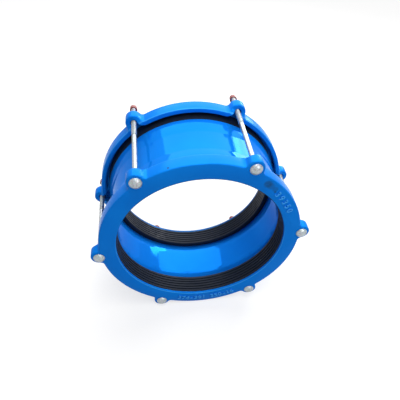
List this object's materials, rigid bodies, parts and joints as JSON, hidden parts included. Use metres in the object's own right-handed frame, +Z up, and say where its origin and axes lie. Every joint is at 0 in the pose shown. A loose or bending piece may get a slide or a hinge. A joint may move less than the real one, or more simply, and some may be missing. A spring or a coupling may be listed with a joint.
{
  "type": "wide-range flexible pipe coupling",
  "caption": "Bolted sleeve coupling for joining two plain-ended water pipes: flared centre sleeve between two cast gland rings, ribbed rubber gaskets and long cup-head tie bolts.",
  "frame": {"origin": "middle of the sleeve, on the pipe's axis", "axes": "+Y along the pipe's axis, from the bolt heads to the nuts; +Z up as the coupling lies on its gland rings and the lugs of one bolt"},
  "size_m": [0.5194, 0.2891, 0.4736],
  "materials": {
    "blue_coating": "gloss",
    "black_rubber": "satin",
    "zinc": "satin",
    "red_cap": "gloss"
  },
  "bodies": {
    "front_clamp": {"front_gland_ring": "blue_coating", "front_gasket": "black_rubber", "tie_bolt_1": "zinc", "tie_bolt_2": "zinc", "tie_bolt_3": "zinc", "tie_bolt_4": "zinc", "tie_bolt_5": "zinc", "tie_bolt_6": "zinc"},
    "sleeve": {"sleeve": "blue_coating"},
    "rear_gland": {"rear_gland_ring": "blue_coating", "rear_gasket": "black_rubber", "washer_1": "zinc", "washer_2": "zinc", "washer_3": "zinc", "washer_4": "zinc", "washer_5": "zinc", "washer_6": "zinc"},
    "nut_1": {"nut_1": "zinc"},
    "thread_cap_1": {"thread_cap_1": "red_cap"},
    "nut_2": {"nut_2": "zinc"},
    "thread_cap_2": {"thread_cap_2": "red_cap"},
    "nut_3": {"nut_3": "zinc"},
    "thread_cap_3": {"thread_cap_3": "red_cap"},
    "nut_4": {"nut_4": "zinc"},
    "thread_cap_4": {"thread_cap_4": "red_cap"},
    "nut_5": {"nut_5": "zinc"},
    "thread_cap_5": {"thread_cap_5": "red_cap"},
    "nut_6": {"nut_6": "zinc"},
    "thread_cap_6": {"thread_cap_6": "red_cap"}
  },
  "joints": [
    {"name": "rear_gland_slide", "type": "slide", "parent": "front_clamp", "child": "rear_gland", "axis": [0, -1, 0], "range_m": [0, 0.026], "deforming": ["rear_gasket"]},
    {"name": "sleeve_slide", "type": "slide", "parent": "front_clamp", "child": "sleeve", "axis": [0, -1, 0], "range_m": [0, 0.013], "deforming": ["front_gasket"]},
    {"name": "nut_1_turn", "type": "hinge", "parent": "rear_gland", "child": "nut_1", "pos_m": [0.2403, 0, 0.01839], "axis": [0, -1, 0], "range_deg": [0, 5400]},
    {"name": "thread_cap_1_pull", "type": "slide", "parent": "front_clamp", "child": "thread_cap_1", "axis": [0, 1, 0], "range_m": [0, 0.02]},
    {"name": "nut_2_turn", "type": "hinge", "parent": "rear_gland", "child": "nut_2", "pos_m": [0.10422, 0, 0.2173], "axis": [0, -1, 0], "range_deg": [0, 5400]},
    {"name": "thread_cap_2_pull", "type": "slide", "parent": "front_clamp", "child": "thread_cap_2", "axis": [0, 1, 0], "range_m": [0, 0.02]},
    {"name": "nut_3_turn", "type": "hinge", "parent": "rear_gland", "child": "nut_3", "pos_m": [-0.13608, 0, 0.19891], "axis": [0, -1, 0], "range_deg": [0, 5400]},
    {"name": "thread_cap_3_pull", "type": "slide", "parent": "front_clamp", "child": "thread_cap_3", "axis": [0, 1, 0], "range_m": [0, 0.02]},
    {"name": "nut_4_turn", "type": "hinge", "parent": "rear_gland", "child": "nut_4", "pos_m": [-0.2403, 0, -0.01839], "axis": [0, -1, 0], "range_deg": [0, 5400]},
    {"name": "thread_cap_4_pull", "type": "slide", "parent": "front_clamp", "child": "thread_cap_4", "axis": [0, 1, 0], "range_m": [0, 0.02]},
    {"name": "nut_5_turn", "type": "hinge", "parent": "rear_gland", "child": "nut_5", "pos_m": [-0.10422, 0, -0.2173], "axis": [0, -1, 0], "range_deg": [0, 5400]},
    {"name": "thread_cap_5_pull", "type": "slide", "parent": "front_clamp", "child": "thread_cap_5", "axis": [0, 1, 0], "range_m": [0, 0.02]},
    {"name": "nut_6_turn", "type": "hinge", "parent": "rear_gland", "child": "nut_6", "pos_m": [0.13608, 0, -0.19891], "axis": [0, -1, 0], "range_deg": [0, 5400]},
    {"name": "thread_cap_6_pull", "type": "slide", "parent": "front_clamp", "child": "thread_cap_6", "axis": [0, 1, 0], "range_m": [0, 0.02]}
  ],
  "couplings": [
    {"joint": "sleeve_slide", "follows": "rear_gland_slide", "ratio": 0.5},
    {"joint": "nut_1_turn", "follows": "rear_gland_slide", "rad_per_m": 3590.4},
    {"joint": "nut_2_turn", "follows": "rear_gland_slide", "rad_per_m": 3590.4},
    {"joint": "nut_3_turn", "follows": "rear_gland_slide", "rad_per_m": 3590.4},
    {"joint": "nut_4_turn", "follows": "rear_gland_slide", "rad_per_m": 3590.4},
    {"joint": "nut_5_turn", "follows": "rear_gland_slide", "rad_per_m": 3590.4},
    {"joint": "nut_6_turn", "follows": "rear_gland_slide", "rad_per_m": 3590.4}
  ]
}
